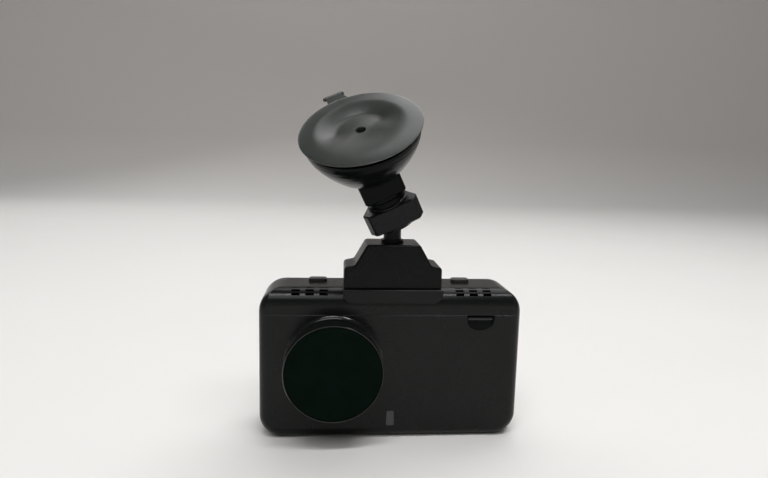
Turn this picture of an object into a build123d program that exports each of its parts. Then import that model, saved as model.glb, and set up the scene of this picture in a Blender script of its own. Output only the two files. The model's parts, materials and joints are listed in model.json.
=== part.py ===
from build123d import *
import os
from math import asin, cos, degrees, radians, sin, sqrt

# Dash-mounted radar detector with a camera, on a magnetic bracket and a ball-jointed suction mount.
# Millimetres. Origin: centre of the housing's resting face. +X right, +Y away from the road, +Z up.
# The camera and the radar look along -Y, the screen faces +Y.

os.makedirs("parts", exist_ok=True)

# ---------------------------------------------------------------- fits between pieces
SLIP = 0.1          # loose seat between two fixed pieces
PLAY = 0.05         # radial running clearance of a turning fit
FREE = 0.3          # gap beside a piece that moves past another
KEY_GAP = 0.2       # gap all round a push button
SEAM = 0.2          # shadow gap where two shells meet

# ---------------------------------------------------------------- housing
HOUSING_W = 107.0
HOUSING_H = 62.6
HOUSING_D = 27.0
WALL = 1.8
REAR_WALL = 2.4
CORNER_R = 9.6      # corners seen from the front
FRONT_EDGE_R = 4.5
REAR_EDGE_R = 4.5
BROW_R = 7.0        # long soft edge along the top of the front
FRONT_DEPTH = 5.5   # depth of the front shell
LAP = 1.2           # tongue of the rear shell inside the front one
FASCIA_STEP = 0.4   # the lower fascia stands proud of the brow
FASCIA_TOP = 52.0

FRONT_Y = -HOUSING_D / 2
REAR_Y = HOUSING_D / 2
PART_Y = FRONT_Y + FRONT_DEPTH

# ---------------------------------------------------------------- vents on the brow
VENT_W = 3.4
VENT_PITCH = 5.6
VENT_COLUMNS = 3
VENT_X = 33.3
VENT_ROWS = ((43.0, 1.2), (59.0, 1.2), (73.0, 0.6))  # angle up the brow, slot height

# ---------------------------------------------------------------- main circuit board
BOARD_INSET = 5.0   # from the housing's sides
BOARD_W = HOUSING_W - 2 * BOARD_INSET
BOARD_Z = (12.5, 50.0)
BOARD_Y = 5.0       # front face
BOARD_T = 1.2
PILLAR_X = 39.6
PILLAR_INSET_Z = 2.6
PILLAR_R = 1.9
BOARD_SCREW_R = 0.8

# ---------------------------------------------------------------- camera and its polarising filter
LENS_X = -23.4
LENS_Z = 32.5
COLLAR_R = 20.0
COLLAR_H = 2.0
COLLAR_BORE = 15.2
FILTER_R = 19.45
FILTER_OUT = 13.2   # how far the filter stands out of the fascia
REAR_RING_H = 4.4
RING_WALL = 0.5     # thin wall round the glass
GLASS_T = 2.0
GLASS_SUNK = 0.3
SPIGOT_R = 17.4
SPIGOT_L = 2.4
BARREL_R = 6.0
BARREL_BORE = 4.6
BARREL_FRONT = 4.4  # depth of the barrel's nose behind the fascia
BARREL_L = 11.0
LENS_SEAT = 2.6     # depth of the lens's seat in the barrel
LENS_CROWN = 1.35
HOLDER_SIDE = 15.0
HOLDER_L = 5.8

# ---------------------------------------------------------------- windows in the fascia
LASER_X = 36.2
LASER_W = 11.8
LASER_TOP = 52.3
LASER_LOW = 46.0
LASER_DEPTH = 1.8
LASER_LIP = 0.4     # depth of the window's pocket at its lower edge
LASER_BAR_H = 2.0
SENSOR_X = 0.15
SENSOR_Z = (5.4, 11.8)
SENSOR_W = (3.3, 2.9)   # bottom, top

# ---------------------------------------------------------------- dock on top
DOCK_W = 40.4
DOCK_FRONT = 0.25   # set back from the fascia
DOCK_LOW = 57.1
DOCK_CORNER_R = 4.0
DOCK_EDGE_R = 0.6
CONTACTS = 5
CONTACT_PITCH = 2.6
CONTACT_W = 1.8
CONTACT_L = 3.2
CONTACT_T = 0.4
DOCK_PLATE = (15.0, 6.4, 1.0)
MAGNET_X = 10.7
MAGNET_R = 3.0
MAGNET_T = 2.0

# ---------------------------------------------------------------- push buttons
BUTTON_X = 30.4
BUTTON_Y = 4.2
BUTTON_W = 7.5
BUTTON_L = 4.6
BUTTON_PROUD = 1.3
BUTTON_TRAVEL = 0.5
KEY_X = 44.6
KEY_Z = (23.5, 39.0)
KEY_W = 5.4
KEY_H = 9.0
KEY_PROUD = 0.6
KEY_TRAVEL = 0.4
FLANGE = 0.8        # how far a button's flange reaches past its opening
FLANGE_T = 1.0
SWITCH_H = 1.5
SWITCH_NUB = 0.4
PRESS_GAP = 0.1     # left between button and switch at full travel

# ---------------------------------------------------------------- screen and other insides
SCREEN_W = 78.0
SCREEN_H = 50.0
SCREEN_Z = 31.5
SCREEN_T = 1.5
SCREEN_LIP = 2.0
LCD_W = 72.0
LCD_H = 44.5
LCD_T = 2.8
HORN_X = (5.6, 37.2)
HORN_Z = (14.0, 38.0)
HORN_THROAT = (14.0, 8.0)
HORN_WALL = 1.4
HORN_FLARE = 11.0
SPEAKER_X = 22.0
SPEAKER_R = 8.5
SPEAKER_T = 4.2
SCREW_X = 46.2
SCREW_Z_INSET = 7.6
SCREW_R = 1.0
SCREW_HEAD_R = 2.0
SCREW_HEAD_T = 1.4
POST_R = 2.7
CARD_Z = 21.0
CARD_W = 13.0
USB_Z = 40.5
USB_W = 7.6
USB_T = 3.4

# ---------------------------------------------------------------- bracket
BRACKET_W = 39.7
BRACKET_D = 18.1
BRACKET_H = 17.7
BRACKET_X = 0.15
BRACKET_FRONT = FRONT_Y + 2.5
SHOULDER_Z = 8.9
SHOULDER_W = 31.0
TOP_W = 21.4
BRACKET_WALL = 1.6
BRACKET_EDGE_R = 0.9
DOCK_GAP = 0.2
BASE_T = 1.6
BRACKET_BOARD_T = 1.0
ANTENNA = (13.0, 12.6, 4.0)
JACK_X = -8.6
JACK_R = 1.75
JACK_L = 8.0
JACK_BODY = (6.6, 6.4)

BRACKET_Y = BRACKET_FRONT + BRACKET_D / 2
BRACKET_Z = HOUSING_H + DOCK_GAP
BRACKET_TOP = BRACKET_Z + BRACKET_H

# ---------------------------------------------------------------- ball stud
BALL_R = 6.4
BALL_FLAT_R = 1.5
BALL_RISE = 12.0    # ball centre above the bracket
STEM_R = 3.6
STEM_FLANGE_R = 4.6
STEM_FLANGE_T = 1.1
SHANK_R = 2.4
SHANK_L = 5.6
STUD_BOSS_L = 4.0
CLIP_R = 4.2
CLIP_T = 0.8
CLIP_GROOVE_R = 1.9

# ---------------------------------------------------------------- arm, from the ball to the cup
ARM_LEAN = 31.7     # from the vertical
ARM_AZIMUTH = -143.4
ARM_REACH = 28.7    # from the ball to where the arm meets the cup's axis
CUP_LEAN = 37.1
CUP_AZIMUTH = -112.2
CUP_MEET = 12.0     # depth of that meeting point below the cup's face
NECK_FACES = (-0.1, -0.99, 0.11)
SOCKET_WALL = 1.45
SOCKET_R = BALL_R + SLIP
THREAD_R = SOCKET_R + SOCKET_WALL
SOCKET_LOW = 0.6
SOCKET_TOP = BALL_R + 1.5
NECK_LOW = 10.4
NECK_W = 17.3
NECK_D = 16.4
NECK_EDGE_R = 1.6
PAD_LOW = 3.6

# ---------------------------------------------------------------- clamp nut
NUT_LOW = -3.4
NUT_TOP = 6.1
NUT_WALL = 0.8      # over the thread, in the valleys
NUT_CORE_R = THREAD_R + PLAY + NUT_WALL
NUT_LOBES = 3
LOBE_OUT = NUT_CORE_R + 3.7
LOBE_SPREAD = 10.0  # half the angle between a lobe's two corners
LOBE_CORNER_R = 1.6
NUT_VALLEY_R = 3.0
NUT_TURN = -1.0     # how far the nut has been screwed round
NUT_COLLAR_H = 0.8
NUT_LIP_LOW = -4.3
NUT_SEAT_LOW = -2.5
NUT_SEAT_HIGH = -0.9
NUT_BALL_GAP = 0.11
NUT_MOUTH_R = BALL_R + 0.7
NUT_HUB_R = NUT_MOUTH_R + 1.2
NUT_EDGE = 0.5

# ---------------------------------------------------------------- suction cup
CUP_R = 24.0
RUBBER_T = 2.0
DISH_R = 16.4
GROOVE_R = 12.2
DISH_DEPTH = 3.0    # at the bottom of the groove
DISH_MIDDLE = 1.3   # round the hole
CUP_HOLE_R = 1.85
DOME_R = 22.8
DOME_GAP = 0.5
DOME_H = 17.5       # from the rim to the crown
CROWN_FLAT = 0.565  # part of the radius that is flat at the crown
CROWN_EASE = 1.3    # breadth of the eased edge round the crown
FLANK_BULGE = 1.54
FLANK_STEPS = 7
DOME_WALL = 1.8
TAB_AZIMUTH = 39.5
TAB_W = 5.5
TAB_OUT = 29.0
TAB_BAR = (1.9, 9.4)

# ---------------------------------------------------------------- lock lever and plunger
PULL = 2.5          # plunger travel
CRANK = 6.0         # crank length of the lever
CRANK_TIP_R = 1.2
PLATE_R = 12.0
PLATE_T = 1.5
ROD_R = 1.9
SPOOL_R = 2.7
SPOOL_WAIST_R = 1.2
SPOOL_GAP = 3.0
SPOOL_FLANGE_T = 0.9
TAIL_R = 1.4
PIN_R = 1.0
LEVER_HUB_R = 2.0
LEVER_W = 5.6
LEVER_T = 2.2
CRANK_T = 1.5
PADDLE_W = 8.0
PADDLE_L = 8.0
LUG_T = 1.6
ROD_SCREW_R = 1.2
ROD_SCREW_L = 2.0   # thread in the rod


# ================================================================ small helpers
def block(x, y, z):
    """Box between pairs of limits."""
    size = [b - a for a, b in (x, y, z)]
    middle = [(a + b) / 2 for a, b in (x, y, z)]
    return Pos(*middle) * Box(*size)


def prism_y(sketch, y0, y1):
    """Sketch drawn in X and Z, extruded from y0 to y1."""
    plane = Plane(origin=(0, y1, 0), x_dir=(1, 0, 0), z_dir=(0, -1, 0))
    return extrude(plane * sketch, amount=y1 - y0)


def post_y(radius, x, z, y0, y1):
    """Round post along Y."""
    return prism_y(Pos(x, z) * Circle(radius), y0, y1)


def post_z(radius, x, y, z0, z1):
    """Round post along Z."""
    return Pos(x, y, (z0 + z1) / 2) * Cylinder(radius, z1 - z0)


def turned(*points):
    """Ring turned about Z from a closed outline of (radius, height) points."""
    return revolve(Plane.XZ * make_face(Polyline(*points, close=True)), Axis.Z)


def polar(radius, angle):
    return (radius * cos(radians(angle)), radius * sin(radians(angle)))


def lean(angle, azimuth):
    """Unit vector leaning from the vertical."""
    flat = sin(radians(angle))
    return Vector(flat * cos(radians(azimuth)), flat * sin(radians(azimuth)), cos(radians(angle)))


# ================================================================ shared places
LENS = Plane(origin=(LENS_X, FRONT_Y, LENS_Z), x_dir=(1, 0, 0), z_dir=(0, -1, 0))
BALL = Vector(BRACKET_X, BRACKET_Y, BRACKET_TOP + BALL_RISE)
ARM_AXIS = lean(ARM_LEAN, ARM_AZIMUTH)
CUP_AXIS = lean(CUP_LEAN, CUP_AZIMUTH)
ARM = Plane(origin=BALL, x_dir=ARM_AXIS.cross(Vector(*NECK_FACES)).normalized(), z_dir=ARM_AXIS)
CUP_CENTRE = BALL + ARM_AXIS * ARM_REACH + CUP_AXIS * CUP_MEET
CUP_BACK = lean(90 - CUP_LEAN, CUP_AZIMUTH + 180)
CUP = Plane(origin=CUP_CENTRE, x_dir=CUP_BACK, z_dir=CUP_AXIS)

# Heights along the cup's axis: 0 is the face that meets the windscreen, the arm's side is negative.
RUBBER_BACK = -DISH_DEPTH - RUBBER_T
PLATE_BACK = RUBBER_BACK - PLATE_T
DOME_RIM = -RUBBER_T - DOME_GAP
CROWN = DOME_RIM - DOME_H
SPOOL_TOP = PLATE_BACK - 3.0
SPOOL_MID = SPOOL_TOP - SPOOL_GAP / 2
TAIL_END = CROWN - 0.4
LEVER_SWING = 2 * degrees(asin(PULL / 2 / CRANK))
PIN_X = CRANK * cos(radians(LEVER_SWING / 2))
PIN_Z = SPOOL_MID - PULL / 2
LEVER_SLOT = LEVER_W + 2 * FREE


# ================================================================ housing
def side_profile(inset):
    """Outline seen from the side: the fascia stands proud under a long soft brow."""
    front, rear = FRONT_Y + inset, REAR_Y - inset
    back = front + FASCIA_STEP
    top = HOUSING_H - inset
    ledge = FASCIA_TOP + 0.9 * FASCIA_STEP
    points = ((front, -1), (front, FASCIA_TOP), (back, ledge), (back, top), (rear, top), (rear, -1))
    face = make_face(Polyline(*points, close=True))
    brow = face.vertices().sort_by(Axis.Y)[-2:].sort_by(Axis.X)[0]
    return Plane.YZ * fillet(brow, BROW_R - inset)


def housing_form(inset=0.0):
    """Form of the housing, drawn in by inset on every side; the inner forms have bevelled edges."""
    outline = RectangleRounded(HOUSING_W - 2 * inset, HOUSING_H - 2 * inset, CORNER_R - inset)
    form = prism_y(Pos(0, HOUSING_H / 2) * outline, FRONT_Y + inset, REAR_Y - inset)
    front = form.faces().sort_by(Axis.Y)[0]
    if inset:
        form = chamfer(front.edges(), (FRONT_EDGE_R - inset) * 0.6)
        form = chamfer(form.faces().sort_by(Axis.Y)[-1].edges(), (REAR_EDGE_R - inset) * 0.4)
    else:
        form = fillet(front.edges(), FRONT_EDGE_R)
        form = fillet(form.faces().sort_by(Axis.Y)[-1].edges(), REAR_EDGE_R)
    return form & extrude(side_profile(inset), amount=HOUSING_W / 2, both=True)


def brow_slot(x, angle, height):
    """Cutter for one vent slot, square to the brow."""
    out = Vector(0, -cos(radians(angle)), sin(radians(angle)))
    centre = Vector(x, FRONT_Y + FASCIA_STEP + BROW_R, HOUSING_H - BROW_R) + out * (BROW_R - WALL / 2)
    return Plane(origin=centre, x_dir=(1, 0, 0), z_dir=out) * Box(VENT_W, height, 2 * WALL)


def vent_cutters():
    cutters = []
    for side in (-1, 1):
        for column in range(VENT_COLUMNS):
            x = side * VENT_X + (column - (VENT_COLUMNS - 1) / 2) * VENT_PITCH
            cutters += [brow_slot(x, angle, height) for angle, height in VENT_ROWS]
    return Part() + cutters


def laser_outline(inset=0.0):
    """Half-oval window hanging from the fascia's top line."""
    half = LASER_W / 2 - inset
    drop = (LASER_TOP - LASER_LOW) - inset
    side = Line((half, 0), (half - 0.5, -drop * 0.45))
    bottom = EllipticalCenterArc((0, -drop * 0.45), half - 0.5, drop * 0.55, start_angle=180, arc_size=180)
    other = Line((-half + 0.5, -drop * 0.45), (-half, 0))
    top = Line((-half, 0), (half, 0))
    return Pos(LASER_X, LASER_TOP) * make_face([side, bottom, other, top])


def laser_pocket():
    """Half-oval pocket whose floor slopes in from its lower edge to the receiver's slot."""
    outside, deep = FRONT_Y - 1, FRONT_Y + LASER_DEPTH
    slot = LASER_TOP - LASER_BAR_H - 0.9
    points = ((outside, LASER_LOW - 1), (FRONT_Y + LASER_LIP, LASER_LOW), (deep, slot), (deep, LASER_TOP + 1),
              (outside, LASER_TOP + 1))
    wedge = Plane.YZ * make_face(Polyline(*points, close=True))
    return prism_y(laser_outline(), outside, deep) & extrude(wedge, amount=HOUSING_W / 2, both=True)


def laser_bar_box(gap=0.0):
    """Space of the receiver's lens bar, in the upper half of its window."""
    half = LASER_W / 2 - 0.9 + gap
    y = (FRONT_Y + 0.8 - gap, FRONT_Y + WALL + 1.6 + gap)
    return block((LASER_X - half, LASER_X + half), y, (LASER_TOP - 0.6 - LASER_BAR_H - gap, LASER_TOP - 0.6 + gap))


def sensor_outline(gap=0.0):
    low, high = SENSOR_Z
    a, b = SENSOR_W[0] / 2 + gap, SENSOR_W[1] / 2 + gap
    points = ((-a, low - gap), (a, low - gap), (b, high + gap), (-b, high + gap))
    return Pos(SENSOR_X, 0) * fillet(make_face(Polyline(*points, close=True)).vertices(), 0.6 + gap)


def screw_places():
    return [(x, z) for x in (-SCREW_X, SCREW_X) for z in (SCREW_Z_INSET, HOUSING_H - SCREW_Z_INSET)]


def dock_brow():
    """Front of the dock, which fills the soft edge under the bracket."""
    high = HOUSING_H - DOCK_LOW
    face = Pos(0, DOCK_LOW + high / 2) * Rectangle(DOCK_W, high)
    face = fillet(face.vertices().group_by(Axis.Y)[0], DOCK_CORNER_R)
    solid = prism_y(face, FRONT_Y + DOCK_FRONT, PART_Y - SEAM / 2)
    lip = solid.edges().filter_by(Axis.X).group_by(Axis.Z)[-1].sort_by(Axis.Y)[0]
    return Pos(BRACKET_X, 0, 0) * fillet(lip, DOCK_EDGE_R)


def make_front_housing():
    keep = block((-HOUSING_W, HOUSING_W), (FRONT_Y - 1, PART_Y - SEAM / 2), (-1, HOUSING_H + 1))
    solid = (housing_form() + dock_brow()) & keep
    solid -= housing_form(WALL)
    rebate = block((-HOUSING_W, HOUSING_W), (PART_Y - SEAM / 2 - LAP - SLIP, PART_Y), (-1, HOUSING_H + 1))
    solid -= housing_form(WALL / 2) & rebate
    solid -= vent_cutters()
    solid -= post_y(COLLAR_BORE + 1.4 + SLIP, LENS_X, LENS_Z, FRONT_Y - 1, FRONT_Y + WALL + 1)
    half = LASER_W / 2 + 1.0
    backing = (FRONT_Y + WALL - 0.2, FRONT_Y + LASER_DEPTH + 1.0)
    solid += block((LASER_X - half, LASER_X + half), backing, (LASER_LOW - 1, LASER_TOP + 1))
    solid -= laser_pocket()
    solid -= laser_bar_box(SLIP)
    solid -= prism_y(sensor_outline(SLIP), FRONT_Y - 1, FRONT_Y + WALL + 1)
    for x, z in screw_places():
        post = post_y(POST_R, x, z, FRONT_Y + WALL - 0.2, PART_Y - SEAM / 2)
        solid += post
        solid -= post_y(SCREW_R + PLAY, x, z, FRONT_Y + WALL + 0.6, PART_Y)
    return solid


def make_sensor_window():
    window = prism_y(sensor_outline(), FRONT_Y + 0.15, FRONT_Y + WALL)
    return window + prism_y(sensor_outline(0.8), FRONT_Y + WALL + SLIP / 2, FRONT_Y + WALL + 0.9) + prism_y(
        sensor_outline(), FRONT_Y + WALL - 0.1, FRONT_Y + WALL + 0.5
    )


def make_laser_lens():
    """Receiver lens: a bar with a crowned front."""
    bar = laser_bar_box()
    front = bar.edges().filter_by(Axis.X).group_by(Axis.Y)[0]
    return fillet(front, LASER_BAR_H * 0.45)


def pillar_places():
    low, high = BOARD_Z
    return [(x, z) for x in (-PILLAR_X, PILLAR_X) for z in (low + PILLAR_INSET_Z, high - PILLAR_INSET_Z)]


def key_places():
    return [(x, z) for x in (-KEY_X, KEY_X) for z in KEY_Z]


def key_face(x, z, grow=0.0):
    return Pos(x, z) * RectangleRounded(KEY_W + 2 * grow, KEY_H + 2 * grow, 1.4 + grow)


def button_face(grow=0.0):
    return RectangleRounded(BUTTON_W + 2 * grow, BUTTON_L + 2 * grow, 1.3 + grow)


def speaker_slots():
    slots = [
        Pos(SPEAKER_X + (i - 2) * 2.6, 0, 0) * extrude(SlotOverall(8.0, 1.2, rotation=90), amount=WALL + 1, both=True)
        for i in range(5)
    ]
    return Part() + slots


def make_rear_housing():
    keep = block((-HOUSING_W, HOUSING_W), (PART_Y + SEAM / 2, REAR_Y + 1), (-1, HOUSING_H + 1))
    tongue = block((-HOUSING_W, HOUSING_W), (PART_Y - LAP, PART_Y + SEAM), (-1, HOUSING_H + 1))
    cavity = block((-HOUSING_W, HOUSING_W), (FRONT_Y, REAR_Y - REAR_WALL), (-1, HOUSING_H + 1))
    solid = (housing_form() & keep) + (housing_form(WALL / 2 + SLIP) & tongue)
    solid -= housing_form(WALL) & cavity
    glass = Pos(0, SCREEN_Z) * RectangleRounded(SCREEN_W + 2 * SLIP, SCREEN_H + 2 * SLIP, 3)
    view = Pos(0, SCREEN_Z) * RectangleRounded(SCREEN_W - 2 * SCREEN_LIP, SCREEN_H - 2 * SCREEN_LIP, 2)
    solid -= prism_y(glass, REAR_Y - SCREEN_T, REAR_Y + 1)
    solid -= prism_y(view, REAR_Y - REAR_WALL - 1, REAR_Y)
    for x, z in key_places():
        solid -= prism_y(key_face(x, z, KEY_GAP), REAR_Y - REAR_WALL - 1, REAR_Y + 1)
    for x in (-BUTTON_X, BUTTON_X):
        solid -= Pos(x, BUTTON_Y, HOUSING_H - WALL - 1) * extrude(button_face(KEY_GAP), amount=WALL + 2)
    for x, z in screw_places():
        solid += post_y(POST_R, x, z, PART_Y + SEAM / 2, REAR_Y - REAR_WALL + 0.5)
        solid -= post_y(SCREW_R + 2 * SLIP, x, z, FRONT_Y, REAR_Y + 1)
        solid -= post_y(SCREW_HEAD_R + 2 * SLIP, x, z, REAR_Y - SCREW_HEAD_T - 0.8, REAR_Y + 1)
    for x, z in pillar_places():
        solid += post_y(PILLAR_R, x, z, BOARD_Y + BOARD_T, REAR_Y - REAR_WALL + 0.5)
        solid -= post_y(BOARD_SCREW_R + PLAY, x, z, BOARD_Y, BOARD_Y + BOARD_T + 3.6)
    length, depth, thick = DOCK_PLATE
    plate = (BRACKET_X, BRACKET_Y, HOUSING_H)
    solid -= Pos(*plate) * Box(length + 2 * SLIP, depth + 2 * SLIP, 2 * thick)
    solid -= speaker_slots()
    solid -= card_mouth()
    solid -= usb_mouth()
    return solid


def card_mouth():
    """Slot in the left side for the memory card."""
    y = BOARD_Y - 1.2
    return block((-HOUSING_W / 2 - 1, -HOUSING_W / 2 + WALL + 1), (y - 0.6, y + 0.6), (CARD_Z, CARD_Z + CARD_W))


def usb_mouth():
    y = BOARD_Y - USB_T / 2
    half = USB_T / 2 + SLIP
    x = (-HOUSING_W / 2 - 1, -HOUSING_W / 2 + WALL + 1)
    return block(x, (y - half, y + half), (USB_Z - SLIP, USB_Z + USB_W + SLIP))


def make_housing_screws():
    """Four screws, put in from the rear."""
    head = REAR_Y - 0.8
    screws = []
    for x, z in screw_places():
        screw = post_y(SCREW_HEAD_R, x, z, head - SCREW_HEAD_T, head)
        screw += post_y(SCREW_R, x, z, FRONT_Y + WALL + 0.9, head - SCREW_HEAD_T + 0.1)
        slot = block((x - 1.1, x + 1.1), (head - 0.6, head + 1), (z - 0.25, z + 0.25))
        cross = block((x - 0.25, x + 0.25), (head - 0.6, head + 1), (z - 1.1, z + 1.1))
        screws.append(screw - slot - cross)
    return Compound(children=screws)


# ================================================================ camera and filter
def make_lens_collar():
    r, h, bore = COLLAR_R, COLLAR_H, COLLAR_BORE
    ring = turned((bore, -WALL - 0.4), (bore + 1.4, -WALL - 0.4), (bore + 1.4, 0), (r, 0), (r, h - 0.5),
                  (r - 0.5, h), (bore, h))
    return LENS * ring


def make_lens_hood():
    """Stepped funnel between the collar and the camera lens."""
    r = COLLAR_BORE - SLIP
    back = -BARREL_FRONT
    inside = [(r - 0.8, COLLAR_H - 0.4)]
    steps = 3
    for i in range(steps):
        radius = r - 0.8 - (i + 1) * (r - 0.8 - BARREL_BORE) / steps
        high = COLLAR_H - 0.4 - (i + 1) * (COLLAR_H - 0.4 - back) / (steps + 1)
        inside += [(inside[-1][0], high), (radius, high)]
    outside = [(BARREL_BORE, back + 0.1), (BARREL_BORE + 1.4, back + 0.1), (r, -1.2), (r, COLLAR_H - 0.4)]
    return LENS * turned(*inside, *outside)


def make_camera_lens():
    """Front element, with a domed face."""
    r = BARREL_BORE - PLAY
    top = -BARREL_FRONT
    seat = top - LENS_SEAT
    flat = 0.1
    dome = [(r * k, top - LENS_CROWN * (k ** 2 - flat ** 2)) for k in (flat, 0.35, 0.6, 0.8, 1.0)]
    return LENS * turned((0, seat), (0, top), *dome, (r, seat))


def make_lens_barrel():
    r, front, rear = BARREL_R, -BARREL_FRONT, -BARREL_FRONT - BARREL_L
    seat = front - LENS_SEAT
    barrel = turned((BARREL_BORE, front), (r, front), (r, rear), (3.0, rear), (3.0, seat), (BARREL_BORE, seat))
    return LENS * barrel


def make_lens_holder():
    """Square foot on the circuit board that the barrel screws into."""
    low = -(BOARD_Y - FRONT_Y)
    foot = Pos(0, 0, low + HOLDER_L / 2) * Box(HOLDER_SIDE, HOLDER_SIDE, HOLDER_L)
    foot = fillet(foot.edges().filter_by(Axis.Z), 1.0)
    foot -= Pos(0, 0, low + HOLDER_L / 2) * Cylinder(BARREL_R + PLAY, HOLDER_L + 1)
    return LENS * foot


def make_image_sensor():
    low = -(BOARD_Y - FRONT_Y)
    return LENS * (Pos(0, 0, low + 0.6) * Box(7.6, 6.4, 1.2))


def make_cpl_rear_ring():
    """Fixed half of the polariser, seated on the collar."""
    low, high = COLLAR_H, COLLAR_H + REAR_RING_H
    r, bore = COLLAR_R - 0.3, SPIGOT_R + PLAY
    ring = turned((bore, low), (r, low), (r, low + 1.2), (r - 0.6, low + 1.6), (r - 0.6, low + 2.4), (r, low + 2.8),
                  (r, high), (bore, high))
    return LENS * ring


def make_cpl_front_ring():
    """Turning half of the polariser, with a spigot that runs in the fixed half."""
    low, top = COLLAR_H + REAR_RING_H + FREE, FILTER_OUT
    r, wall = FILTER_R, FILTER_R - RING_WALL
    seat = top - GLASS_SUNK - GLASS_T
    bore = SPIGOT_R - 1.2
    ring = turned((bore, low - SPIGOT_L), (SPIGOT_R, low - SPIGOT_L), (SPIGOT_R, low), (r, low), (r, top - 0.3),
                  (r - 0.2, top), (wall, top), (wall, seat), (bore, seat))
    return LENS * ring


def make_cpl_glass():
    top = FILTER_OUT - GLASS_SUNK
    disc = Pos(0, 0, top - GLASS_T / 2) * Cylinder(FILTER_R - RING_WALL - PLAY, GLASS_T)
    return LENS * chamfer(disc.edges().group_by(Axis.Z)[-1], 0.25)


# ================================================================ boards and what they carry
def make_main_board():
    low, high = BOARD_Z
    plate = Pos(0, (low + high) / 2) * RectangleRounded(BOARD_W, high - low, 1.0)
    board = prism_y(plate, BOARD_Y, BOARD_Y + BOARD_T)
    for x, z in pillar_places():
        board -= post_y(BOARD_SCREW_R + SLIP, x, z, BOARD_Y - 1, BOARD_Y + BOARD_T + 1)
    return board


def make_board_screws():
    screws = []
    for x, z in pillar_places():
        screw = post_y(1.7, x, z, BOARD_Y - 1.1, BOARD_Y)
        screw += post_y(BOARD_SCREW_R, x, z, BOARD_Y - 0.1, BOARD_Y + BOARD_T + 3.2)
        screws.append(screw)
    return Compound(children=screws)


def make_processor():
    """Main chip, on the screen's side of the board."""
    return block((-24, -10), (BOARD_Y + BOARD_T, BOARD_Y + BOARD_T + 1.1), (22, 36))


def make_memory_card_socket():
    y = BOARD_Y - 2.0
    z = (CARD_Z - 0.8, CARD_Z + CARD_W + 0.8)
    x = (-HOUSING_W / 2 + WALL + FREE, -HOUSING_W / 2 + WALL + 14.5)
    shell = block(x, (y, BOARD_Y), z)
    return shell - block((x[0] - 1, x[1] - 1), (y + 0.3, BOARD_Y - 0.5), (CARD_Z, CARD_Z + CARD_W))


def make_usb_socket():
    x = (-HOUSING_W / 2 + 0.8, -HOUSING_W / 2 + 9.6)
    shell = block(x, (BOARD_Y - USB_T, BOARD_Y), (USB_Z, USB_Z + USB_W))
    hollow = block((x[0] - 1, x[1] - 1.4), (BOARD_Y - USB_T + 0.4, BOARD_Y - 0.4), (USB_Z + 0.4, USB_Z + USB_W - 0.4))
    middle = BOARD_Y - USB_T / 2
    tongue = block((x[0] + 1.2, x[1] - 1), (middle - 0.4, middle + 0.4), (USB_Z + 1.4, USB_Z + USB_W - 1.4))
    return shell - hollow + tongue


def make_backup_battery():
    pack = block((-13.5, 4.4), (BOARD_Y - 6.2, BOARD_Y), (15, 45))
    return fillet(pack.edges().filter_by(Axis.Z), 1.6)


def make_key_switches():
    """One dome switch behind each key."""
    face = BOARD_Y + BOARD_T
    switches = []
    for x, z in key_places():
        switch = block((x - 2.2, x + 2.2), (face, face + SWITCH_H), (z - 2.2, z + 2.2))
        switches.append(switch + post_y(1.1, x, z, face + SWITCH_H - 0.1, face + SWITCH_H + SWITCH_NUB))
    return Compound(children=switches)


def make_button_switches():
    """Two edge switches on the board's top edge, under the top buttons."""
    top = BOARD_Z[1] + 0.2
    switches = []
    for x in (-BUTTON_X, BUTTON_X):
        switch = block((x - 3, x + 3), (BOARD_Y - 3.8 - 1.6, BOARD_Y), (top - 3.4, top))
        switches.append(switch + post_z(1.0, x, BUTTON_Y, top - 0.1, top + SWITCH_NUB))
    return Compound(children=switches)


def make_horn_antenna():
    """Cast radar horn: a rectangular mouth that narrows to the waveguide throat."""
    x, z = HORN_X, HORN_Z
    front = FRONT_Y + WALL + FREE
    body = block(x, (front, BOARD_Y - SLIP), z)
    centre = ((x[0] + x[1]) / 2, (z[0] + z[1]) / 2)
    mouth = Rectangle(x[1] - x[0] - 2 * HORN_WALL, z[1] - z[0] - 2 * HORN_WALL)
    look = Plane(origin=(centre[0], front, centre[1]), x_dir=(1, 0, 0), z_dir=(0, 1, 0))
    flare = loft([look * mouth, look.offset(HORN_FLARE) * Rectangle(*HORN_THROAT)])
    throat = extrude(look.offset(HORN_FLARE - 0.1) * Rectangle(*HORN_THROAT), amount=2.6)
    horn = body - flare - throat
    relief = block((x[0] + 3, x[1] - 3), (front + HORN_FLARE - 2, BOARD_Y - 2.2), (z[1] - 3.6, z[1] + 1))
    return horn - relief


def make_radar_board():
    """Detector board on top of the horn."""
    return block((HORN_X[0] + 0.5, HORN_X[1] - 0.5), (FRONT_Y + 6, BOARD_Y - 0.6), (HORN_Z[1], HORN_Z[1] + 1.0))


def make_lcd_panel():
    y = REAR_Y - REAR_WALL - SLIP
    z = SCREEN_Z
    return block((-LCD_W / 2, LCD_W / 2), (y - LCD_T, y), (z - LCD_H / 2, z + LCD_H / 2))


def make_screen_glass():
    pane = Pos(0, SCREEN_Z) * RectangleRounded(SCREEN_W, SCREEN_H, 3)
    return prism_y(pane, REAR_Y - SCREEN_T, REAR_Y - SLIP)


def make_speaker():
    low = WALL + SLIP
    return Pos(SPEAKER_X, 0, low) * turned((0, 0), (SPEAKER_R, 0), (SPEAKER_R, 1.4), (SPEAKER_R * 0.62, 1.4 + 1.0),
                                           (SPEAKER_R * 0.62, SPEAKER_T), (0, SPEAKER_T))


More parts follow.
